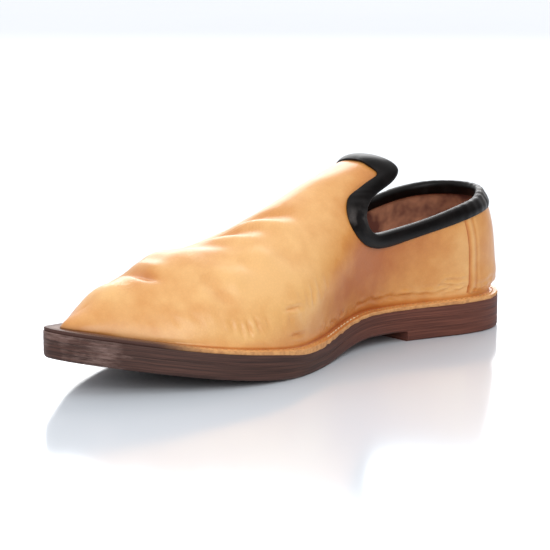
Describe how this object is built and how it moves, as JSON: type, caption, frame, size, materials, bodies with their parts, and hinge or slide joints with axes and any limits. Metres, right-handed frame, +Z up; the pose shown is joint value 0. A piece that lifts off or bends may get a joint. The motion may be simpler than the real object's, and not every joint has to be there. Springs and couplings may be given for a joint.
{
  "type": "leather slip-on flat shoe",
  "caption": "Low slip-on leather flat with an almond toe, a tongue tab, a bound collar and a stitched-down layered leather sole.",
  "frame": {"origin": "on the floor, under the middle of the shoe's bounding box", "axes": "+Z up, +Y towards the toe, +X towards the outer side of this right shoe"},
  "size_m": [0.096, 0.268, 0.0901],
  "materials": {
    "upper_leather": "soft tumbled grain, satin",
    "binding_leather": "smooth, low gloss",
    "insole_leather": "matt lining",
    "sole_leather": "stained and burnished edge"
  },
  "bodies": {
    "root": {"upper": "upper_leather", "collar_binding": "binding_leather", "insole": "insole_leather", "midsole": "sole_leather", "outsole": "sole_leather", "heel": "sole_leather"}
  },
  "joints": []
}
